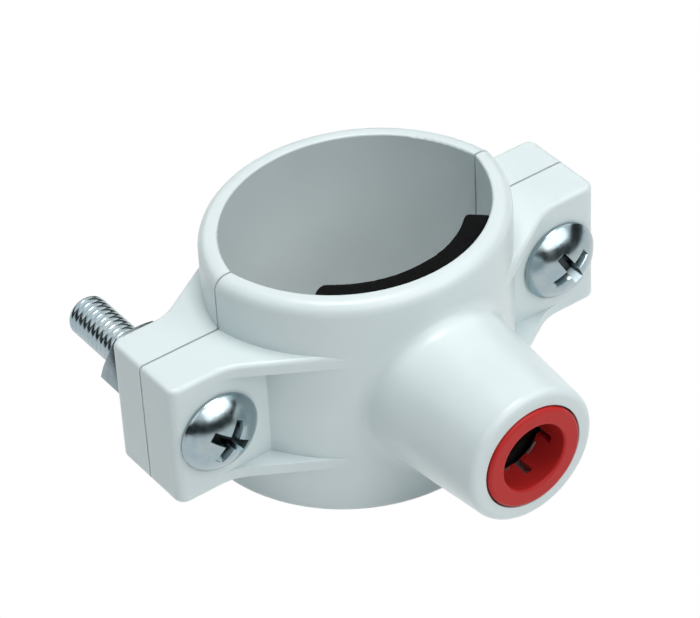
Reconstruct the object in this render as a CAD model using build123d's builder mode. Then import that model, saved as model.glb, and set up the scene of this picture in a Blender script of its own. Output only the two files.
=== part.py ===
from build123d import *
import os
from math import acos, atan2, cos, hypot, radians, sin, sqrt, tan

# A tapping saddle: two clamp halves close on a waste pipe with two screws, and a
# push-fit boss on the front half takes a small drain tube. Millimetres, +Z up.
# The pipe's axis is Z, the halves part on the plane y = 0, and the boss faces -Y.
# The origin is on the pipe's axis, halfway up the ring.

# ---- pipe and ring -----------------------------------------------------------
pipe_radius = 20.0            # 40 mm waste pipe
pinch = 3.6                   # each bore's centre stands this far past the parting plane
wall = 2.7                    # ring wall
ring_height = 35.0
rim_round = 1.8               # outer edge of the ring, top and bottom
rim_break = 0.3               # inner edge of the ring
parting_gap = 0.3             # left between the two halves

# ---- ears and gussets --------------------------------------------------------
ear_end = 34.6                # from the pipe's axis to an ear's end face
ear_thickness = 7.0           # of one half
ear_height = 19.0
ear_corner = 1.5              # upright corners at an ear's end
edge_round = 0.7              # the other outer edges of the ears
gusset_thickness = 1.9
gusset_start = 26.0           # where a gusset leaves the flat of the ear
gusset_blend = 7.0            # hollow curve between the ear's face and the gusset

# ---- clamp screws and nuts, M6 -----------------------------------------------
screw_spacing = 56.0
screw_hole_radius = 3.3
shank_radius = 2.95
screw_length = 31.5           # under the head
screw_point = 0.7             # bevel at the screw's end
head_radius = 5.8
head_height = 3.3
head_rim = 0.5                # upright part of the head, under its dome
screw_seat_gap = 0.05
nut_flats = 10.0
nut_height = 5.0
nut_bevel = 0.6
nut_bore_radius = 3.0
recess_span = 6.4             # cross recess in the head
recess_slot = 1.5
recess_depth = 2.3
recess_taper = 13.0           # degrees
left_recess_turn = 52.0       # degrees, where each screw came to rest
right_recess_turn = 30.0

# ---- boss --------------------------------------------------------------------
boss_end = 36.5               # from the pipe's axis to the boss's end face
boss_end_radius = 9.7
boss_taper = 5.0              # degrees
boss_edge = 1.1               # rounding of the boss's outer edge
boss_blend = 2.2              # hollow curve where the boss leaves the ring

# ---- push-fit socket, for 3/8 in tube ----------------------------------------
counterbore_radius = 7.55
lip_radius = 6.4
lip_thickness = 0.9
cavity_radius = 7.3
cone_length = 1.2
cavity_length = 4.2
socket_radius = 5.0
socket_length = 7.2
passage_radius = 4.0
seal_section = 1.25           # radius of the tube seal's cord
collet_travel = 1.0
collet_bore_radius = 4.85
flange_radius = 7.3
flange_thickness = 1.6
flange_proud = 0.4
flange_edge = 0.5
mouth_round = 0.4
sleeve_radius = 6.05
barb_radius = 6.9
barb_land = 0.2
finger_slot = 1.0
finger_count = 6
finger_turn = 44.0            # degrees, from +X to the first slot
tooth_thickness = 0.4
tooth_inner_radius = 4.65
tooth_outer_radius = 6.0
tooth_back = 0.5              # from the cavity's cone back to a blade's root
tooth_lean = 0.6              # a blade's edge points this far into the boss

# ---- sealing pad -------------------------------------------------------------
pad_thickness = 3.8
pad_half_angle = 47.0         # degrees each side of the boss, about the front bore's centre
pad_height = 33.6
pad_corner = 2.0
pad_hole_radius = 4.6

# ---- worked out from the sizes above -----------------------------------------
outer_radius = pipe_radius + wall
half_ring = ring_height / 2
half_ear = ear_height / 2
half_gap = parting_gap / 2
outer_x = sqrt(outer_radius**2 - pinch**2)
nut_corner = nut_flats / sqrt(3)
root_radius = boss_end_radius + boss_end * tan(radians(boss_taper))

# A gusset's straight edge leaves the ear's face and meets the ring as a tangent.
reach = hypot(gusset_start, ear_thickness + pinch)
touch_angle = atan2(-ear_thickness - pinch, gusset_start) - acos(outer_radius / reach)
touch_x = outer_radius * cos(touch_angle)
touch_y = pinch + outer_radius * sin(touch_angle)

# Stations along the socket, as y, from the boss's end face inwards.
mouth_y = -boss_end
counterbore_y = mouth_y + flange_thickness - flange_proud + collet_travel + 0.1
cone_y = counterbore_y + lip_thickness
cavity_y = cone_y + cone_length
socket_y = cavity_y + cavity_length
passage_y = socket_y + socket_length
seal_y = socket_y - seal_section
flange_y = mouth_y - flange_proud
collet_end_y = seal_y - seal_section - collet_travel - 0.2
tooth_y = cavity_y - tooth_back

os.makedirs("parts", exist_ok=True)


def plan_edges(solid, level):
    """The outline edges of the ears' flat top or bottom, apart from the parting face."""
    flat = solid.edges().filter_by_position(Axis.Z, level - 0.01, level + 0.01)
    return flat.filter_by(lambda edge: edge.center().Y < -0.5 and abs(edge.center().X) > 10)


def inner_rims(solid):
    """The bore's top and bottom edges."""
    arcs = solid.edges().filter_by(GeomType.CIRCLE)
    at_bore = arcs.filter_by(lambda arc: abs(arc.radius - pipe_radius) < 0.01)
    return at_bore.filter_by(lambda arc: abs(arc.center().Z) > half_ring - 1)


# ---- the ears of one half, in one bar, with a gusset plate along top and bottom
with BuildPart() as ears:
    with BuildSketch(Plane.XY.offset(-half_ear)):
        with Locations((0, -ear_thickness / 2)):
            Rectangle(2 * ear_end, ear_thickness)
    extrude(amount=ear_height)
    fillet(ears.edges().filter_by(Axis.Z).filter_by(lambda edge: edge.center().Y < -1), ear_corner)
    for low in (-half_ear, half_ear - gusset_thickness):
        with BuildSketch(Plane.XY.offset(low)) as plate:
            with BuildLine():
                Polyline(
                    (-gusset_start - 5, -ear_thickness / 2),
                    (-gusset_start - 5, -ear_thickness),
                    (-gusset_start, -ear_thickness),
                    (-touch_x, touch_y),
                    (touch_x, touch_y),
                    (gusset_start, -ear_thickness),
                    (gusset_start + 5, -ear_thickness),
                    (gusset_start + 5, -ear_thickness / 2),
                    close=True,
                )
            make_face()
            bends = plate.vertices().filter_by(lambda point: abs(abs(point.X) - gusset_start) < 0.01)
            fillet(bends, gusset_blend)
        extrude(amount=gusset_thickness)
    for level in (-half_ear, half_ear):
        fillet(plan_edges(ears, level), edge_round)

# ---- the shape that both halves share, solid through the bore
with BuildPart() as blank:
    with BuildSketch(Plane.XY.offset(-half_ring)):
        with BuildLine():
            ThreePointArc((-outer_x, 0), (0, pinch - outer_radius), (outer_x, 0))
            Line((outer_x, 0), (-outer_x, 0))
        make_face()
    extrude(amount=ring_height)
    fillet(blank.edges().filter_by(GeomType.CIRCLE), rim_round)
    add(ears.part)

# ---- what is cut from both: the pipe's bore, the screw holes and the parting gap
with BuildPart() as cutter:
    with BuildSketch(Plane.XY.offset(-half_ring)):
        with Locations((0, pinch)):
            Circle(pipe_radius)
    extrude(amount=ring_height)
    with BuildSketch(Plane.XZ):
        with GridLocations(screw_spacing, 0, 2, 1):
            Circle(screw_hole_radius)
    extrude(amount=2 * ear_thickness)
    with BuildSketch(Plane.XZ.offset(half_gap)):
        Rectangle(3 * ear_end, 2 * ring_height)
    extrude(amount=-ear_thickness)

# ---- rear half
with BuildPart() as plain_half:
    add(blank.part)
    add(cutter.part, mode=Mode.SUBTRACT)
    fillet(inner_rims(plain_half), rim_break)

with BuildPart() as rear_saddle:
    mirror(plain_half.part, about=Plane.XZ)
rear_saddle.part.label = "rear_saddle"
export_step(rear_saddle.part, "parts/rear_saddle.step")

# ---- front half, with the push-fit boss
with BuildPart() as front_saddle:
    add(blank.part)
    with BuildSketch(Plane.XZ):
        Circle(root_radius)
    extrude(amount=boss_end, taper=boss_taper)
    boss_edges = front_saddle.edges(Select.LAST)
    fillet(boss_edges.filter_by(lambda edge: -25 < edge.center().Y < -5), boss_blend)
    fillet(front_saddle.faces().sort_by(Axis.Y)[0].edges(), boss_edge)
    add(cutter.part, mode=Mode.SUBTRACT)
    fillet(inner_rims(front_saddle), rim_break)
    with BuildSketch(Plane.XY):
        with BuildLine():
            Polyline(
                (0, mouth_y),
                (counterbore_radius, mouth_y),
                (counterbore_radius, counterbore_y),
                (lip_radius, counterbore_y),
                (lip_radius, cone_y),
                (cavity_radius, cavity_y),
                (cavity_radius, socket_y),
                (socket_radius, socket_y),
                (socket_radius, passage_y),
                (passage_radius, passage_y),
                (passage_radius, 0),
                (0, 0),
                close=True,
            )
        make_face()
    revolve(axis=Axis.Y, mode=Mode.SUBTRACT)
front_saddle.part.label = "front_saddle"
export_step(front_saddle.part, "parts/front_saddle.step")

# ---- sealing pad, bent to the front half's bore
with BuildPart() as sealing_pad:
    with BuildSketch(Plane.XY.offset(-pad_height / 2)):
        with BuildLine():
            pad_start = -90 - pad_half_angle
            outer_arc = CenterArc((0, pinch), pipe_radius, pad_start, 2 * pad_half_angle)
            inner_arc = CenterArc((0, pinch), pipe_radius - pad_thickness, pad_start, 2 * pad_half_angle)
            Line(outer_arc @ 0, inner_arc @ 0)
            Line(outer_arc @ 1, inner_arc @ 1)
        make_face()
    extrude(amount=pad_height)
    straight = sealing_pad.edges().filter_by(GeomType.LINE)
    fillet(straight.filter_by(Plane.XY), pad_corner)
    with BuildSketch(Plane.XZ):
        Circle(pad_hole_radius)
    extrude(amount=pipe_radius, mode=Mode.SUBTRACT)
sealing_pad.part.label = "sealing_pad"
export_step(sealing_pad.part, "parts/sealing_pad.step")

# ---- tube seal, an O-ring at the bottom of the cavity
with BuildPart() as tube_seal:
    with BuildSketch(Plane.XY):
        with Locations((cavity_radius - seal_section - 0.02, seal_y)):
            Circle(seal_section)
    revolve(axis=Axis.Y)
tube_seal.part.label = "tube_seal"
export_step(tube_seal.part, "parts/tube_seal.step")

# ---- grip teeth, one leaning blade in each of the collet's fingers
with BuildPart() as tooth_ring:
    with BuildSketch(Plane.XY):
        with BuildLine():
            Polyline(
                (tooth_outer_radius, tooth_y),
                (tooth_inner_radius, tooth_y + tooth_lean),
                (tooth_inner_radius, tooth_y + tooth_lean + tooth_thickness / 2),
                (tooth_outer_radius, tooth_y + tooth_thickness),
                close=True,
            )
        make_face()
    revolve(axis=Axis.Y)

with BuildPart() as grip_teeth:
    add(tooth_ring.part)
    with BuildSketch(Plane.XZ):
        with PolarLocations(0, finger_count // 2, start_angle=finger_turn, angular_range=180):
            Rectangle(3 * barb_radius, 3 * finger_slot)
    extrude(amount=boss_end, mode=Mode.SUBTRACT)
grip_teeth.part.label = "grip_teeth"
export_step(grip_teeth.part, "parts/grip_teeth.step")

# ---- collet: flange, sleeve and six barbed fingers
with BuildPart() as collet:
    with BuildSketch(Plane.XY):
        with BuildLine():
            Polyline(
                (collet_bore_radius, flange_y),
                (flange_radius, flange_y),
                (flange_radius, flange_y + flange_thickness),
                (sleeve_radius, flange_y + flange_thickness),
                (sleeve_radius, cone_y + 0.2),
                (barb_radius, cavity_y),
                (barb_radius, cavity_y + barb_land),
                (sleeve_radius, collet_end_y),
                (collet_bore_radius, collet_end_y),
                close=True,
            )
        make_face()
    revolve(axis=Axis.Y)
    rings = collet.edges().filter_by(GeomType.CIRCLE).group_by(Axis.Y)[0].sort_by(SortBy.RADIUS)
    fillet(rings[0], mouth_round)
    fillet(rings[-1], flange_edge)
    with BuildSketch(Plane.XZ.offset(-collet_end_y)):
        with PolarLocations(0, finger_count // 2, start_angle=finger_turn, angular_range=180):
            Rectangle(3 * barb_radius, finger_slot)
    extrude(amount=collet_end_y - counterbore_y, mode=Mode.SUBTRACT)
    add(tooth_ring.part, mode=Mode.SUBTRACT)
collet.part.label = "collet"
export_step(collet.part, "parts/collet.step")

# ---- clamp screws and nuts, the same on both sides
for side, hand, recess_turn in ((-1, "left", left_recess_turn), (1, "right", right_recess_turn)):
    screw_x = side * screw_spacing / 2
    screw_axis = Axis((screw_x, 0, 0), (0, 1, 0))
    seat_y = -ear_thickness - screw_seat_gap
    dome_y = seat_y - head_rim
    point_y = seat_y + screw_length
    head_top = seat_y - head_height

    with BuildPart() as clamp_screw:
        with BuildSketch(Plane(origin=(screw_x, 0, 0))):
            with BuildLine():
                Polyline(
                    (0, head_top),
                    (0, point_y),
                    (shank_radius - screw_point, point_y),
                    (shank_radius, point_y - screw_point),
                    (shank_radius, seat_y),
                    (head_radius, seat_y),
                    (head_radius, dome_y),
                )
                TangentArc((0, head_top), (head_radius, dome_y), tangent=(1, 0))
            make_face()
        revolve(axis=screw_axis)
        with BuildSketch(Plane.XZ.offset(-head_top)):
            with Locations((screw_x, 0)):
                with PolarLocations(0, 2, start_angle=recess_turn, angular_range=180):
                    Rectangle(recess_span, recess_slot)
        extrude(amount=-recess_depth, taper=recess_taper, mode=Mode.SUBTRACT)
    clamp_screw.part.label = f"clamp_screw_{hand}"
    export_step(clamp_screw.part, f"parts/clamp_screw_{hand}.step")

    with BuildPart() as clamp_nut:
        with BuildSketch(Plane.XZ.offset(-ear_thickness)):
            with Locations((screw_x, 0)):
                RegularPolygon(nut_flats / 2, 6, major_radius=False)
                Circle(nut_bore_radius, mode=Mode.SUBTRACT)
        extrude(amount=-nut_height)
        with BuildSketch(Plane(origin=(screw_x, 0, 0))):
            with BuildLine():
                Polyline(
                    (0, ear_thickness),
                    (nut_corner - nut_bevel, ear_thickness),
                    (nut_corner, ear_thickness + nut_bevel / 2),
                    (nut_corner, ear_thickness + nut_height - nut_bevel / 2),
                    (nut_corner - nut_bevel, ear_thickness + nut_height),
                    (0, ear_thickness + nut_height),
                    close=True,
                )
            make_face()
        revolve(axis=screw_axis, mode=Mode.INTERSECT)
        rings = clamp_nut.edges().filter_by(GeomType.CIRCLE)
        chamfer(rings.filter_by(lambda edge: edge.radius < nut_flats / 3), nut_bevel / 2)
    clamp_nut.part.label = f"clamp_nut_{hand}"
    export_step(clamp_nut.part, f"parts/clamp_nut_{hand}.step")
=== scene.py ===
"""Finishes and detail pieces of a tapping saddle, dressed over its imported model."""

import math

import bmesh
import bpy
from mathutils import Matrix, Vector, noise


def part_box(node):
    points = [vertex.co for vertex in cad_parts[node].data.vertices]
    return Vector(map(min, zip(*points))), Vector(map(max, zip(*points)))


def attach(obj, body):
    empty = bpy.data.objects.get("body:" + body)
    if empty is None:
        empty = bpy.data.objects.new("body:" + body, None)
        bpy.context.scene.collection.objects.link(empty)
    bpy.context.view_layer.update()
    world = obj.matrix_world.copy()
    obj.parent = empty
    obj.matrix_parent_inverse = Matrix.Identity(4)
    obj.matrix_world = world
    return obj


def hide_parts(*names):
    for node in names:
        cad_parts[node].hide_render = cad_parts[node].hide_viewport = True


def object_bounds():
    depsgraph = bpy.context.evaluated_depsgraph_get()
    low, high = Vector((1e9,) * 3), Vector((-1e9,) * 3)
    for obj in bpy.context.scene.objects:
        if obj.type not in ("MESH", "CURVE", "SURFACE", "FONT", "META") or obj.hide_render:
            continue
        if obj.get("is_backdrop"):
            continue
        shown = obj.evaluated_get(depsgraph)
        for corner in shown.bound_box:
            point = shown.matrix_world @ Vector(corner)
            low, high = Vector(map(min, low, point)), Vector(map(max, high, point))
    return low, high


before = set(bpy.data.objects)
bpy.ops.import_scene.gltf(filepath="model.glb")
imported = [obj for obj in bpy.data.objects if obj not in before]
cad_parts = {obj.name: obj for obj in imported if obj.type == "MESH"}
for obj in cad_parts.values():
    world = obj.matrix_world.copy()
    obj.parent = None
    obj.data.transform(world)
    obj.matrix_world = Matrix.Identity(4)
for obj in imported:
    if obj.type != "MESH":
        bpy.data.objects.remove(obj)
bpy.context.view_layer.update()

bl_info = {
    "name": "Tapping Saddle",
    "version": (1, 0, 0),
    "blender": (4, 5, 0),
    "location": "View3D > Sidebar > Tapping Saddle",
    "description": "Dresses a two-piece pipe saddle with its plastic, metal and foam finishes",
    "category": "Object",
}

MM = 0.001

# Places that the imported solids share: under the screws' heads, the front half's bore, the pad in it.
SCREW_SEAT = -7.05 * MM
BORE_RADIUS = 20.0 * MM
BORE_CENTRE = Vector((0, 3.6 * MM, 0))
PAD_HALF_TURN = math.radians(47)
PAD_FACE_RADIUS = BORE_RADIUS - 3.8 * MM

DIRECT_RAYS = ("Is Camera Ray", "Is Glossy Ray", "Is Transmission Ray")

# One turn of the thread, as (share of the pitch, share of the depth): a broad crest and a rounded root.
THREAD_FORM = ((0.0, 0.0), (0.16, 0.0), (0.30, 0.08), (0.42, 0.58), (0.50, 0.92), (0.57, 1.0), (0.64, 0.92),
               (0.72, 0.58), (0.84, 0.08), (1.0, 0.0))


# ---- node materials ----------------------------------------------------------


class Finish:
    """A node material under construction: adds nodes and links them in one call."""

    def __init__(self, name):
        self.material = bpy.data.materials.new(name)
        self.material.use_nodes = True
        self.tree = self.material.node_tree
        self.shader = self.tree.nodes["Principled BSDF"]
        self.place = self.tree.nodes.new("ShaderNodeTexCoord").outputs["Object"]

    def node(self, kind, values=(), **settings):
        """A new node, its inputs given as plain values or as another node's outputs."""
        made = self.tree.nodes.new(kind)
        for name, value in settings.items():
            setattr(made, name, value)
        for name, value in dict(values).items():
            if isinstance(value, bpy.types.NodeSocket):
                self.tree.links.new(value, made.inputs[name])
            else:
                made.inputs[name].default_value = value
        return made

    def set(self, **values):
        """Sets the shader's own sockets, with _ for each space in their names."""
        for name, value in values.items():
            self.shader.inputs[name.replace("_", " ")].default_value = value

    def feed(self, name, output):
        """Links an output to one of the shader's sockets."""
        self.tree.links.new(output, self.shader.inputs[name])

    def noise(self, scale, detail=3.0, roughness=0.5, place=None):
        """Soft noise of that scale over the piece, or over the given place."""
        values = {"Vector": place or self.place, "Scale": scale, "Detail": detail, "Roughness": roughness}
        return self.node("ShaderNodeTexNoise", values).outputs["Fac"]

    def remap(self, value, low, high, to_low=0.0, to_high=1.0):
        """The value stretched from one range to another, and held at its ends."""
        values = {"Value": value, "From Min": low, "From Max": high, "To Min": to_low, "To Max": to_high}
        return self.node("ShaderNodeMapRange", values).outputs["Result"]

    def blend(self, factor, first, second):
        """The first colour where the factor is 0 and the second where it is 1."""
        mix = self.node("ShaderNodeMix", data_type="RGBA")
        for name, value in (("Factor", factor), ("A", first), ("B", second)):
            if isinstance(value, bpy.types.NodeSocket):
                self.tree.links.new(value, mix.inputs[name])
            else:
                mix.inputs[name].default_value = value
        return mix.outputs["Result"]

    def bump(self, height, distance, strength=1.0, under=None):
        """A surface raised by the height times the distance, over another one if that is given."""
        values = {"Height": height, "Distance": distance, "Strength": strength}
        if under is not None:
            values["Normal"] = under
        return self.node("ShaderNodeBump", values).outputs["Normal"]


def shade(colour, factor):
    """A colour scaled in brightness, as the four numbers that a node socket takes."""
    return tuple(channel * factor for channel in colour[:3]) + (1.0,)


def seen_directly(tree):
    """A factor that is 1 where the eye meets a thing: directly, in a gloss or through a clear piece."""
    paths = tree.nodes.new("ShaderNodeLightPath")
    seen = paths.outputs[DIRECT_RAYS[0]]
    for ray in DIRECT_RAYS[1:]:
        either = tree.nodes.new("ShaderNodeMath")
        either.operation = "MAXIMUM"
        tree.links.new(seen, either.inputs[0])
        tree.links.new(paths.outputs[ray], either.inputs[1])
        seen = either.outputs[0]
    return seen


def mix_in(tree, factor, first, second, surface):
    """Shows the second shader where the factor is 1 and the first elsewhere, at the given output."""
    mix = tree.nodes.new("ShaderNodeMixShader")
    for socket, output in zip(mix.inputs, (factor, first, second)):
        tree.links.new(output, socket)
    tree.links.new(mix.outputs[0], surface)


def dress(node, material):
    """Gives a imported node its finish."""
    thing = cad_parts[node]
    thing.data.materials.clear()
    thing.data.materials.append(material)


def moulded_plastic(name, colour, roughness, scatter, gloss=0.5):
    """Moulded plastic: faint flow clouds in colour and gloss, and a fine satin skin."""
    finish = Finish(name)
    cloud = finish.remap(finish.noise(90.0, 2.0), 0.35, 0.65)
    wear = finish.noise(260.0, 3.0)
    finish.feed("Base Color", finish.blend(cloud, shade(colour, 0.97), shade(colour, 1.0)))
    finish.feed("Roughness", finish.remap(wear, 0.3, 0.7, roughness - 0.04, roughness + 0.05))
    finish.feed("Normal", finish.bump(finish.noise(2600.0, 2.0), 0.02 * MM, 0.35))
    finish.set(Subsurface_Weight=scatter, Subsurface_Radius=(1.0, 1.0, 1.0), Subsurface_Scale=0.8 * MM,
               IOR=1.5, Specular_IOR_Level=gloss)
    return finish.material


# ---- settings ----------------------------------------------------------------


class SaddleFinish(bpy.types.PropertyGroup):
    """Colours of the materials"""

    plastic_colour: bpy.props.FloatVectorProperty(
        name="Body plastic", description="Colour of both clamp halves",
        subtype="COLOR", size=3, min=0, max=1, default=(0.765, 0.845, 0.86))
    collet_colour: bpy.props.FloatVectorProperty(
        name="Collet plastic", description="Colour of the release collet",
        subtype="COLOR", size=3, min=0, max=1, default=(0.56, 0.026, 0.024))
    foam_colour: bpy.props.FloatVectorProperty(
        name="Foam", description="Colour of the sealing pad",
        subtype="COLOR", size=3, min=0, max=1, default=(0.0045, 0.0047, 0.0050))
    plating_colour: bpy.props.FloatVectorProperty(
        name="Zinc plating", description="Colour of the screws' and nuts' plating",
        subtype="COLOR", size=3, min=0, max=1, default=(0.35, 0.45, 0.50))


class SaddleHardware(bpy.types.PropertyGroup):
    """Sizes of the clamp screws and nuts"""

    head_height: bpy.props.FloatProperty(
        name="Head height", description="Height of a screw's pan head",
        unit="LENGTH", default=3.3 * MM)
    head_rim: bpy.props.FloatProperty(
        name="Head rim", description="Height of the upright rim under the dome",
        unit="LENGTH", default=0.5 * MM)
    head_edge: bpy.props.FloatProperty(
        name="Head edge", description="Rounding of the pan head's edges",
        unit="LENGTH", default=0.18 * MM)
    shank_radius: bpy.props.FloatProperty(
        name="Thread radius", description="Outer radius of the thread",
        unit="LENGTH", default=2.95 * MM)
    thread_pitch: bpy.props.FloatProperty(
        name="Thread pitch", description="Distance from one turn of the thread to the next",
        unit="LENGTH", default=1.0 * MM)
    thread_depth: bpy.props.FloatProperty(
        name="Thread depth", description="From the thread's crest to its root",
        unit="LENGTH", default=0.09 * MM)
    point_length: bpy.props.FloatProperty(
        name="Point length", description="Length of the screw's rounded end",
        unit="LENGTH", default=1.1 * MM)
    recess_span: bpy.props.FloatProperty(
        name="Recess span", description="Width of the cross recess over two arms",
        unit="LENGTH", default=7.4 * MM)
    recess_width: bpy.props.FloatProperty(
        name="Recess arm", description="Width of one arm of the cross recess",
        unit="LENGTH", default=1.6 * MM)
    recess_depth: bpy.props.FloatProperty(
        name="Recess depth", description="Depth of the cross recess",
        unit="LENGTH", default=2.3 * MM)
    recess_edge: bpy.props.FloatProperty(
        name="Recess edge", description="Rounding of the recess's rim",
        unit="LENGTH", default=0.09 * MM)
    recess_turn: bpy.props.FloatVectorProperty(
        name="Recess turns", description="Turn of the left and the right screw's recess",
        subtype="EULER", size=2, default=(math.radians(52), math.radians(30)))
    nut_edge: bpy.props.FloatProperty(
        name="Nut edge", description="Rounding of a nut's edges",
        unit="LENGTH", default=0.14 * MM)


class SaddlePad(bpy.types.PropertyGroup):
    """Sizes of the foam sealing pad"""

    cell: bpy.props.FloatProperty(
        name="Mesh cell", description="Size of the pad's mesh cells",
        unit="LENGTH", default=0.36 * MM)
    crown: bpy.props.FloatProperty(
        name="Crown", description="How far the pad's face falls away towards its edges",
        unit="LENGTH", default=0.55 * MM)
    fall: bpy.props.FloatProperty(
        name="Edge fall", description="Width of the rounded band along the pad's edges",
        unit="LENGTH", default=2.6 * MM)
    unevenness: bpy.props.FloatProperty(
        name="Unevenness", description="Height of the foam's own waves",
        unit="LENGTH", default=0.10 * MM)
    softening: bpy.props.IntProperty(
        name="Softening", description="How many times the pad's edges are smoothed", default=5)


class SaddleStage(bpy.types.PropertyGroup):
    """Camera, lamps and surroundings"""

    azimuth: bpy.props.FloatProperty(
        name="Azimuth", description="Camera's bearing round the pipe's axis, from the boss's side",
        subtype="ANGLE", default=math.radians(-34.4))
    elevation: bpy.props.FloatProperty(
        name="Elevation", description="Camera's height above the horizon",
        subtype="ANGLE", default=math.radians(38.6))
    roll: bpy.props.FloatProperty(
        name="Roll", description="Camera's turn about its own line of sight",
        subtype="ANGLE", default=math.radians(3.25))
    distance: bpy.props.FloatProperty(
        name="Distance", description="From the camera to its aim", unit="LENGTH", default=0.4553)
    lens: bpy.props.FloatProperty(name="Lens", description="Focal length in millimetres", default=177.9)
    aim: bpy.props.FloatVectorProperty(
        name="Aim", description="The point in the middle of the picture",
        subtype="TRANSLATION", unit="LENGTH", size=3, default=(-0.0029, -0.00175, 0.0039))
    overhead_power: bpy.props.FloatProperty(
        name="Overhead light", description="Power of the softbox overhead", unit="POWER", default=1.52)
    front_power: bpy.props.FloatProperty(
        name="Front light", description="Power of the softbox high in front", unit="POWER", default=1.20)
    side_power: bpy.props.FloatProperty(
        name="Side lights", description="Power of each of the two fill lights", unit="POWER", default=0.12)
    back_power: bpy.props.FloatProperty(
        name="Back light", description="Power of the fill light behind", unit="POWER", default=0.32)
    lamp_colour: bpy.props.FloatVectorProperty(
        name="Lamps", description="Colour of all the lamps",
        subtype="COLOR", size=3, min=0, max=1, default=(1.0, 0.985, 0.97))
    sky_colour: bpy.props.FloatVectorProperty(
        name="Sky colour", description="Colour of the light from all round",
        subtype="COLOR", size=3, min=0, max=1, default=(0.55, 0.92, 1.0))
    sky_strength: bpy.props.FloatProperty(
        name="Sky", description="Strength of the light from all round", default=0.11)
    flag_radius: bpy.props.FloatProperty(
        name="Flag radius", description="From the pipe's axis to the dark flags that the metal reflects",
        unit="LENGTH", default=0.56)
    flag_height: bpy.props.FloatProperty(
        name="Flag height", description="Height of the dark flags",
        unit="LENGTH", default=0.30)
    floor_reach: bpy.props.FloatProperty(
        name="Floor reach", description="From the pipe's axis to the floor's edge",
        unit="LENGTH", default=1.5)


# ---- operators ---------------------------------------------------------------


class TAPPING_OT_stage(bpy.types.Operator):
    """Lays the floor, lights it softly and sets the camera"""

    bl_idname = "tapping.stage"
    bl_label = "Stage"

    def execute(self, context):
        stage = context.scene.saddle_stage
        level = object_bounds()[0].z
        self.floor(stage, level)
        self.world(stage)
        self.lamps(stage)
        self.flags(stage, level)
        self.camera(stage)
        context.scene.view_settings.view_transform = "Standard"
        return {"FINISHED"}

    def floor(self, stage, level):
        """The floor: a pale diffuse sheet that looks plain white wherever it is seen."""
        mesh = bmesh.new()
        bmesh.ops.create_grid(mesh, x_segments=1, y_segments=1, size=stage.floor_reach)
        bmesh.ops.translate(mesh, verts=mesh.verts, vec=(0, 0, level))
        floor = to_object(mesh, "floor")
        finish = Finish("pale_floor")
        finish.set(Base_Color=(0.86, 0.86, 0.86, 1), Roughness=0.9)
        white = finish.node("ShaderNodeEmission", {"Color": (1, 1, 1, 1), "Strength": 1.0})
        mix_in(finish.tree, seen_directly(finish.tree), finish.shader.outputs[0], white.outputs[0],
               finish.tree.nodes["Material Output"].inputs["Surface"])
        floor.data.materials.append(finish.material)
        floor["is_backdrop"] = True

    def world(self, stage):
        """The surroundings: a faint cool light that looks plain white wherever it is seen."""
        world = bpy.data.worlds.new("soft_sky")
        world.use_nodes = True
        tree = world.node_tree
        sky = tree.nodes["Background"]
        sky.inputs["Color"].default_value = (*stage.sky_colour, 1)
        sky.inputs["Strength"].default_value = stage.sky_strength
        white = tree.nodes.new("ShaderNodeBackground")
        white.inputs["Color"].default_value = (1, 1, 1, 1)
        mix_in(tree, seen_directly(tree), sky.outputs[0], white.outputs[0],
               tree.nodes["World Output"].inputs["Surface"])
        bpy.context.scene.world = world

    def lamps(self, stage):
        """The softboxes, as name, place, height, width to height, and power."""
        for name, place, height, stretch, power in (
                ("overhead_softbox", (0.01, -0.01, 0.50), 0.25, 1.0, stage.overhead_power),
                ("front_softbox", (0.08, -0.354, 0.354), 0.34, 1.7, stage.front_power),
                ("right_fill", (0.37, 0.05, 0.33), 0.25, 1.0, stage.side_power),
                ("left_fill", (-0.35, -0.05, 0.35), 0.25, 1.0, stage.side_power),
                ("back_fill", (0.0, 0.47, 0.18), 0.20, 1.7, stage.back_power)):
            lamp = bpy.data.lights.new(name, "AREA")
            lamp.shape = "RECTANGLE"
            lamp.size = height * stretch
            lamp.size_y = height
            lamp.energy = power
            lamp.color = stage.lamp_colour
            thing = bpy.data.objects.new(name, lamp)
            thing.location = place
            thing.rotation_euler = (-Vector(place)).to_track_quat("-Z", "Y").to_euler()
            bpy.context.scene.collection.objects.link(thing)

    def flags(self, stage, level):
        """A ring of dark flags round the part, seen only in glossy reflections, to shape the metal."""
        mesh = bmesh.new()
        bmesh.ops.create_cone(mesh, cap_ends=False, segments=48, radius1=stage.flag_radius,
                              radius2=stage.flag_radius, depth=stage.flag_height)
        bmesh.ops.translate(mesh, verts=mesh.verts, vec=(0, 0, level + stage.flag_height / 2))
        flags = to_object(mesh, "dark_flags")
        finish = Finish("dark_flag")
        finish.set(Base_Color=(0.012, 0.020, 0.020, 1), Roughness=1.0)
        flags.data.materials.append(finish.material)
        flags.visible_camera = False
        flags.visible_diffuse = False
        flags.visible_transmission = False
        flags.visible_shadow = False
        flags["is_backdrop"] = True

    def camera(self, stage):
        """The camera, looking at its aim from the set bearing, height and distance."""
        lens = bpy.data.cameras.new("camera")
        lens.lens = stage.lens
        lens.sensor_width = 36.0
        lens.clip_start = 0.01
        camera = bpy.data.objects.new("camera", lens)
        outwards = Vector((math.sin(stage.azimuth), -math.cos(stage.azimuth), 0))
        back = outwards * math.cos(stage.elevation) + Vector((0, 0, math.sin(stage.elevation)))
        camera.location = Vector(stage.aim) + back * stage.distance
        turn = (-back).to_track_quat("-Z", "Y").to_matrix() @ Matrix.Rotation(-stage.roll, 3, "Z")
        camera.rotation_euler = turn.to_euler()
        bpy.context.scene.collection.objects.link(camera)
        bpy.context.scene.camera = camera


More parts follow.
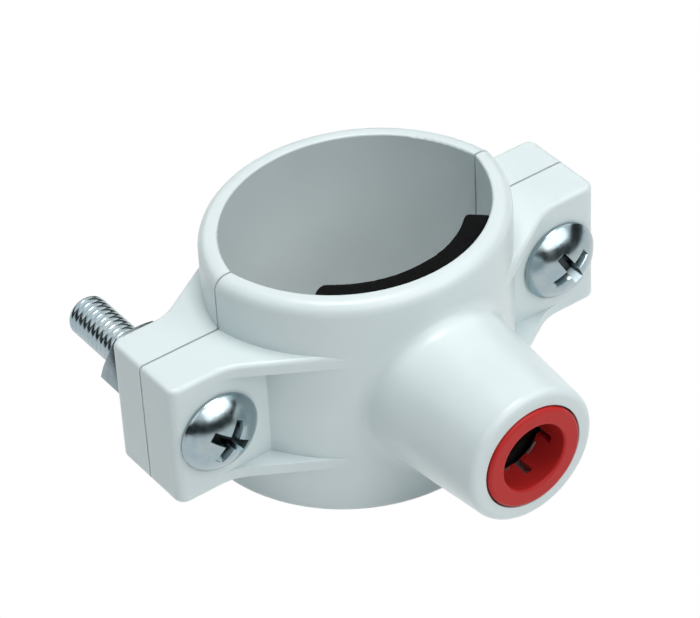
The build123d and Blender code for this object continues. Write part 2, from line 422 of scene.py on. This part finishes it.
def to_object(mesh, name):
    """Turns a bmesh into an object of that name at the origin."""
    data = bpy.data.meshes.new(name)
    mesh.to_mesh(data)
    mesh.free()
    thing = bpy.data.objects.new(name, data)
    bpy.context.scene.collection.objects.link(thing)
    return thing


class TAPPING_OT_halves(bpy.types.Operator):
    """Gives both clamp halves their white moulded plastic"""

    bl_idname = "tapping.halves"
    bl_label = "Clamp halves"

    def execute(self, context):
        settings = context.scene.saddle_finish
        white = moulded_plastic("white_plastic", settings.plastic_colour, 0.32, 0.15)
        for node in ("front_saddle", "rear_saddle"):
            dress(node, white)
        return {"FINISHED"}


def rod(place, profile, steps=96):
    """A closed lathed form about a line along Y: profile gives (radius, y) pairs from axis to axis."""
    mesh = bmesh.new()
    line = [mesh.verts.new((place.x + radius, y, place.z)) for radius, y in profile]
    edges = [mesh.edges.new(pair) for pair in zip(line, line[1:])]
    bmesh.ops.spin(mesh, geom=line + edges, cent=place, axis=(0, 1, 0), angle=math.tau, steps=steps,
                   use_merge=True)
    bmesh.ops.remove_doubles(mesh, verts=mesh.verts, dist=0.002 * MM)
    bmesh.ops.recalc_face_normals(mesh, faces=mesh.faces)
    return mesh


def ease(mesh, edges, offset, segments):
    """Rounds the given edges by the offset."""
    bmesh.ops.bevel(mesh, geom=edges, offset=offset, offset_type="OFFSET", segments=segments, profile=0.5,
                    affect="EDGES", material=-1, clamp_overlap=True)


def applied(thing):
    """The object with its modifiers applied, as a bmesh of its own; the object itself is removed."""
    depsgraph = bpy.context.evaluated_depsgraph_get()
    mesh = bmesh.new()
    mesh.from_object(thing, depsgraph)
    bpy.data.objects.remove(thing)
    return mesh


def cut(target, tool):
    """Cuts the tool's shape out of the target."""
    modifier = target.modifiers.new(tool.name, "BOOLEAN")
    modifier.object = tool
    modifier.operation = "DIFFERENCE"
    modifier.solver = "EXACT"


def merged_copy(node):
    """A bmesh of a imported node's mesh, with its loose triangles joined."""
    mesh = bmesh.new()
    mesh.from_mesh(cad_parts[node].data)
    bmesh.ops.remove_doubles(mesh, verts=mesh.verts, dist=0.0005 * MM)
    bmesh.ops.recalc_face_normals(mesh, faces=mesh.faces)
    return mesh


def smooth(thing, angle):
    """Shades a piece smooth, apart from the edges sharper than the angle."""
    thing.data.shade_smooth()
    thing.data.set_sharp_from_angle(angle=math.radians(angle))


def stand_in(thing, node, body, material):
    """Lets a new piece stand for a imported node, on that node's body."""
    thing.data.materials.append(material)
    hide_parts(node)
    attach(thing, body)


def zinc_plate(name, colour):
    """Bright zinc plating: a bluish grey that clouds over, with fine drawn lines and worn gloss, and painted
    shade inside the screws' cross recesses.
    """
    finish = Finish(name)
    cloud = finish.remap(finish.noise(420.0, 4.0, 0.6), 0.35, 0.65)
    warm = (min(colour[0] * 1.14, 1), colour[1] * 1.04, colour[2] * 0.96, 1.0)
    plate = finish.blend(cloud, shade(colour, 0.94), warm)
    # Painted shade: the plating darkens towards a tenth of its colour with the recess depth marked on the
    # screws.
    deep = finish.node("ShaderNodeAttribute", attribute_name="recess_depth").outputs["Fac"]
    finish.feed("Base Color", finish.blend(deep, plate, shade(colour, 0.10)))
    stretched = finish.node("ShaderNodeMapping", {"Vector": finish.place, "Scale": (1.0, 0.12, 1.0)})
    lines = finish.noise(5200.0, 2.0, 0.5, stretched.outputs["Vector"])
    finish.feed("Roughness", finish.remap(finish.noise(900.0, 4.0, 0.6), 0.3, 0.7, 0.15, 0.27))
    finish.feed("Normal", finish.bump(lines, 0.012 * MM, 0.5))
    finish.set(Metallic=1.0)
    return finish.material


class TAPPING_OT_screws(bpy.types.Operator):
    """Turns the two clamp screws: threaded shank, domed pan head and cross recess"""

    bl_idname = "tapping.screws"
    bl_label = "Clamp screws"

    def execute(self, context):
        metal = zinc_plate("zinc_plating", context.scene.saddle_finish.plating_colour)
        hardware = context.scene.saddle_hardware
        for hand, turn in zip(("left", "right"), hardware.recess_turn):
            node = f"clamp_screw_{hand}"
            low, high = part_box(node)
            axis = Vector(((low.x + high.x) / 2, 0, 0))
            screw = self.screw(hardware, axis, (high.x - low.x) / 2, high.y, turn, node + "_turned")
            smooth(screw, 34)
            stand_in(screw, node, f"{hand}_screw", metal)
        return {"FINISHED"}

    def screw(self, hardware, axis, head_radius, point, turn, name):
        """The head with its recess, bridged to the shank round the seat."""
        blank = to_object(self.head(hardware, axis, head_radius), "head_blank")
        arms = []
        for arm in range(2):
            mesh = self.recess_arm(hardware, axis, turn + arm * math.pi / 2)
            arms.append(to_object(mesh, f"recess_arm_{arm}"))
            cut(blank, arms[-1])
        mesh = applied(blank)
        for arm in arms:
            bpy.data.objects.remove(arm)
        self.ease_recess(mesh, hardware, axis)
        underside = [face for face in mesh.faces if face.calc_center_median().y > SCREW_SEAT - 0.001 * MM]
        bmesh.ops.delete(mesh, geom=underside, context="FACES")
        shank = to_object(self.shank(hardware, axis, point), "shank")
        mesh.from_mesh(shank.data)
        bpy.data.objects.remove(shank)
        bmesh.ops.bridge_loops(mesh, edges=[edge for edge in mesh.edges if edge.is_boundary])
        bmesh.ops.recalc_face_normals(mesh, faces=mesh.faces)
        self.mark_recess_shade(mesh, hardware, axis, head_radius)
        return to_object(mesh, name)

    def dome(self, hardware, radius):
        """The dome's ball radius, and the level of its top."""
        rise = hardware.head_height - hardware.head_rim
        return (radius ** 2 + rise ** 2) / (2 * rise), SCREW_SEAT - hardware.head_height

    def head(self, hardware, axis, radius):
        """The pan head: a shallow dome over an upright rim, with its edges eased."""
        ball, top = self.dome(hardware, radius)
        steps = 18
        sweep = math.asin(radius / ball)
        dome = [(ball * math.sin(sweep * step / steps), top + ball * (1 - math.cos(sweep * step / steps)))
                for step in range(steps + 1)]
        mesh = rod(axis, dome + [(radius, SCREW_SEAT), (0, SCREW_SEAT)])
        rims = [edge for edge in mesh.edges if edge.calc_face_angle(0) > math.radians(30)]
        ease(mesh, rims, hardware.head_edge, 3)
        return mesh

    def shank(self, hardware, axis, point):
        """The shank, open at the head, its right-hand thread fading out into the rounded point."""
        pitch, depth, outer = hardware.thread_pitch, hardware.thread_depth, hardware.shank_radius
        mesh = bmesh.new()
        line = [mesh.verts.new((axis.x + outer - depth * drop, SCREW_SEAT - pitch * (1 - along), axis.z))
                for along, drop in THREAD_FORM]
        edges = [mesh.edges.new(pair) for pair in zip(line, line[1:])]
        turns = math.ceil((point - SCREW_SEAT) / pitch) + 1
        around = 48
        bmesh.ops.spin(mesh, geom=line + edges, cent=axis, axis=(0, 1, 0), dvec=(0, pitch / around, 0),
                       angle=math.tau, steps=around)
        turn = to_object(mesh, "thread_turn")
        repeat = turn.modifiers.new("turns", "ARRAY")
        repeat.use_relative_offset = False
        repeat.use_constant_offset = True
        repeat.constant_offset_displace = (0, pitch, 0)
        repeat.count = turns
        mesh = applied(turn)
        bmesh.ops.remove_doubles(mesh, verts=mesh.verts, dist=0.004 * MM)
        for level, outwards in ((SCREW_SEAT, -1), (point, 1)):
            everything = mesh.verts[:] + mesh.edges[:] + mesh.faces[:]
            bmesh.ops.bisect_plane(mesh, geom=everything, plane_co=(0, level, 0), plane_no=(0, outwards, 0),
                                   clear_outer=True, dist=0.001 * MM)
        self.round_point(mesh, hardware, axis, point)
        end = [edge for edge in mesh.edges if edge.is_boundary and edge.verts[0].co.y > 0]
        bmesh.ops.holes_fill(mesh, edges=end, sides=0)
        return mesh

    def round_point(self, mesh, hardware, axis, point):
        """Draws the thread in towards the screw's flat end, which keeps a share of its radius."""
        end_share = 0.62
        taper = hardware.point_length
        for vert in mesh.verts:
            near = (vert.co.y - (point - taper)) / taper
            if near > 0:
                across = Vector((vert.co.x - axis.x, 0, vert.co.z - axis.z))
                curve = math.sqrt(max(0.0, 1 - near * near))
                room = hardware.shank_radius * (end_share + (1 - end_share) * curve)
                if across.length > room:
                    vert.co = Vector((axis.x, vert.co.y, axis.z)) + across * (room / across.length)

    def recess_arm(self, hardware, axis, turn):
        """One bar of the cross: a wedge that narrows towards the recess's floor."""
        overshoot = 1.5
        floor_length, floor_width = 0.5, 0.6
        length, height, width = hardware.recess_span, hardware.recess_depth, hardware.recess_width
        mesh = bmesh.new()
        bmesh.ops.create_cube(mesh, size=1.0)
        bmesh.ops.scale(mesh, verts=mesh.verts, vec=(length, height * (1 + overshoot), width))
        bmesh.ops.translate(mesh, verts=mesh.verts, vec=(0, height * (1 - overshoot) / 2, 0))
        floor = [vert for vert in mesh.verts if vert.co.y > 0]
        bmesh.ops.scale(mesh, verts=floor, vec=(floor_length, 1.0, floor_width))
        roof = [vert for vert in mesh.verts if vert.co.y < 0]
        widening = (1 + overshoot * (1 - floor_length), 1.0, 1 + overshoot * (1 - floor_width))
        bmesh.ops.scale(mesh, verts=roof, vec=widening)
        bmesh.ops.rotate(mesh, verts=mesh.verts, cent=(0, 0, 0), matrix=Matrix.Rotation(-turn, 3, "Y"))
        bmesh.ops.translate(mesh, verts=mesh.verts, vec=(axis.x, SCREW_SEAT - hardware.head_height, axis.z))
        return mesh

    def ease_recess(self, mesh, hardware, axis):
        """Rounds the recess's rim a little, as the punch leaves it."""
        bmesh.ops.remove_doubles(mesh, verts=mesh.verts, dist=0.002 * MM)
        reach = hardware.recess_span * 0.6
        rim = []
        for edge in mesh.edges:
            middle = (edge.verts[0].co + edge.verts[1].co) / 2
            sharp = edge.calc_face_angle_signed(0) > math.radians(25)
            on_dome = middle.y < SCREW_SEAT - hardware.head_rim
            if sharp and on_dome and math.hypot(middle.x - axis.x, middle.z - axis.z) < reach:
                rim.append(edge)
        ease(mesh, rim, hardware.recess_edge, 2)

    def mark_recess_shade(self, mesh, hardware, axis, head_radius):
        """Marks how far below the dome each point lies in the recess, for the painted shade that darkens the
        plating there.
        """
        # Painted shade begins at the first depth below the dome and is full at the second.
        shade_start, shade_full = 0.3 * MM, 1.3 * MM
        ball, top = self.dome(hardware, head_radius)
        centre = Vector((axis.x, top + ball, axis.z))
        layer = mesh.verts.layers.float.new("recess_depth")
        for vert in mesh.verts:
            if vert.co.y < SCREW_SEAT - hardware.head_rim:
                sunk = ball - (vert.co - centre).length
                vert[layer] = min(max((sunk - shade_start) / (shade_full - shade_start), 0), 1)


class TAPPING_OT_nuts(bpy.types.Operator):
    """Eases the edges of the two hexagon nuts"""

    bl_idname = "tapping.nuts"
    bl_label = "Clamp nuts"

    def execute(self, context):
        # Painted shade: the nuts get the screws' plating at four fifths of its brightness, for the shade they
        # sit in behind the ears.
        shaded_plating = [channel * 0.8 for channel in context.scene.saddle_finish.plating_colour]
        metal = zinc_plate("nut_plating", shaded_plating)
        for hand in ("left", "right"):
            node = f"clamp_nut_{hand}"
            mesh = merged_copy(node)
            bmesh.ops.dissolve_limit(mesh, angle_limit=math.radians(2), verts=mesh.verts, edges=mesh.edges)
            corners = [edge for edge in mesh.edges if edge.calc_face_angle(0) > math.radians(12)]
            ease(mesh, corners, context.scene.saddle_hardware.nut_edge, 2)
            bmesh.ops.recalc_face_normals(mesh, faces=mesh.faces)
            nut = to_object(mesh, node + "_eased")
            smooth(nut, 25)
            stand_in(nut, node, "rear", metal)
        return {"FINISHED"}


class TAPPING_OT_seals(bpy.types.Operator):
    """Makes the foam sealing pad and gives the tube seal its rubber"""

    bl_idname = "tapping.seals"
    bl_label = "Seals"

    def execute(self, context):
        colour = context.scene.saddle_finish.foam_colour
        dress("tube_seal", self.rubber(colour))
        pad = self.pad(context.scene.saddle_pad)
        smooth(pad, 60)
        stand_in(pad, "sealing_pad", "front", self.foam(colour))
        return {"FINISHED"}

    def pad(self, pad):
        """The pad's own solid remeshed finely, its edges softened and its face crowned towards the pipe."""
        blank = to_object(merged_copy("sealing_pad"), "pad_blank")
        remesh = blank.modifiers.new("cells", "REMESH")
        remesh.mode = "VOXEL"
        remesh.voxel_size = pad.cell
        mesh = applied(blank)
        for _ in range(pad.softening):
            bmesh.ops.smooth_vert(mesh, verts=mesh.verts, factor=0.5, use_axis_x=True, use_axis_y=True,
                                  use_axis_z=True)
        low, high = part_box("sealing_pad")
        half_height = (high.z - low.z) / 2
        for vert in mesh.verts:
            across = vert.co - BORE_CENTRE
            across.z = 0
            radius = across.length
            depth = min(max((BORE_RADIUS - radius) / (BORE_RADIUS - PAD_FACE_RADIUS), 0), 1)
            bearing = abs(math.atan2(across.x, -across.y))
            to_edge = min(half_height - abs(vert.co.z), (PAD_HALF_TURN - bearing) * radius)
            share = min(max(to_edge / pad.fall, 0), 1)
            drop = pad.crown * (1 - share) ** 2
            wave = noise.noise(vert.co * 900.0) * 0.6 + noise.noise(vert.co * 2600.0) * 0.25
            vert.co += across.normalized() * (drop + pad.unevenness * (0.5 + 0.5 * wave)) * depth
        bmesh.ops.recalc_face_normals(mesh, faces=mesh.faces)
        return to_object(mesh, "sealing_pad_foam")

    def foam(self, colour):
        """Closed-cell foam: a dead black skin, pricked with small open cells whose hollows hold painted
        shade.
        """
        finish = Finish("black_foam")
        cells = finish.node("ShaderNodeTexVoronoi",
                            {"Vector": finish.place, "Scale": 2300.0, "Randomness": 1.0})
        pits_and_shade = finish.remap(cells.outputs["Distance"], 0.10, 0.42)
        skin = finish.noise(700.0, 4.0, 0.6)
        # Painted shade: the colour falls to about a third inside the cells' pits.
        finish.feed("Base Color", finish.blend(pits_and_shade, shade(colour, 0.35), shade(colour, 1.25)))
        finish.feed("Roughness", finish.remap(skin, 0.3, 0.7, 0.82, 0.97))
        under = finish.bump(pits_and_shade, 0.05 * MM, 0.6)
        finish.feed("Normal", finish.bump(skin, 0.12 * MM, 0.5, under))
        finish.set(Specular_IOR_Level=0.06)
        return finish.material

    def rubber(self, colour):
        """Moulded rubber: smooth and dark, faintly dusty."""
        finish = Finish("black_rubber")
        dust = finish.remap(finish.noise(1500.0, 3.0), 0.4, 0.75)
        finish.feed("Base Color", finish.blend(dust, shade(colour, 0.5), shade(colour, 0.9)))
        finish.feed("Roughness", finish.remap(finish.noise(800.0, 2.0), 0.3, 0.7, 0.6, 0.75))
        finish.feed("Normal", finish.bump(finish.noise(5000.0, 2.0), 0.01 * MM, 0.4))
        finish.set(Specular_IOR_Level=0.2)
        return finish.material


class TAPPING_OT_collet(bpy.types.Operator):
    """Gives the release collet its red plastic and the grip teeth their steel"""

    bl_idname = "tapping.collet"
    bl_label = "Collet and teeth"

    def execute(self, context):
        red = moulded_plastic("red_plastic", context.scene.saddle_finish.collet_colour, 0.42, 0.0, gloss=0.22)
        dress("collet", red)
        dress("grip_teeth", self.spring_steel())
        return {"FINISHED"}

    def spring_steel(self):
        """Stamped stainless steel: fine rolling lines and slight heat tint, its colour held dark as painted
        shade for the teeth deep in the collet.
        """
        finish = Finish("stainless_steel")
        grain = finish.node("ShaderNodeMapping", {"Vector": finish.place, "Scale": (1.0, 1.0, 0.1)})
        lines = finish.noise(6000.0, 2.0, 0.5, grain.outputs["Vector"])
        tint = finish.remap(finish.noise(600.0, 2.0), 0.35, 0.65)
        # Painted shade: both tones sit well below bright stainless steel, for the shade deep inside the
        # collet.
        finish.feed("Base Color", finish.blend(tint, (0.30, 0.30, 0.30, 1), (0.38, 0.36, 0.34, 1)))
        finish.feed("Roughness", finish.remap(lines, 0.3, 0.7, 0.22, 0.36))
        finish.feed("Normal", finish.bump(lines, 0.008 * MM, 0.4))
        finish.set(Metallic=1.0)
        return finish.material


class TAPPING_PT_sidebar(bpy.types.Panel):
    """Lists the saddle's pieces and their settings"""

    bl_idname = "TAPPING_PT_sidebar"
    bl_label = "Tapping Saddle"
    bl_space_type = "VIEW_3D"
    bl_region_type = "UI"
    bl_category = "Tapping Saddle"

    def draw(self, context):
        for operator in OPERATORS:
            self.layout.operator(operator.bl_idname)
        for name, kind in SETTINGS.items():
            for setting in kind.__annotations__:
                self.layout.prop(getattr(context.scene, name), setting)


OPERATORS = (TAPPING_OT_stage, TAPPING_OT_halves, TAPPING_OT_collet, TAPPING_OT_seals, TAPPING_OT_screws,
             TAPPING_OT_nuts)
SETTINGS = {
    "saddle_finish": SaddleFinish,
    "saddle_hardware": SaddleHardware,
    "saddle_pad": SaddlePad,
    "saddle_stage": SaddleStage,
}
CLASSES = (*SETTINGS.values(), *OPERATORS, TAPPING_PT_sidebar)


def register():
    for kind in CLASSES:
        bpy.utils.register_class(kind)
    for name, kind in SETTINGS.items():
        setattr(bpy.types.Scene, name, bpy.props.PointerProperty(type=kind))


def unregister():
    for name in reversed(SETTINGS):
        delattr(bpy.types.Scene, name)
    for kind in reversed(CLASSES):
        bpy.utils.unregister_class(kind)


def main():
    register()
    bpy.ops.tapping.stage()
    bpy.ops.tapping.halves()
    bpy.ops.tapping.collet()
    bpy.ops.tapping.seals()
    bpy.ops.tapping.screws()
    bpy.ops.tapping.nuts()


if __name__ == "__main__":
    main()
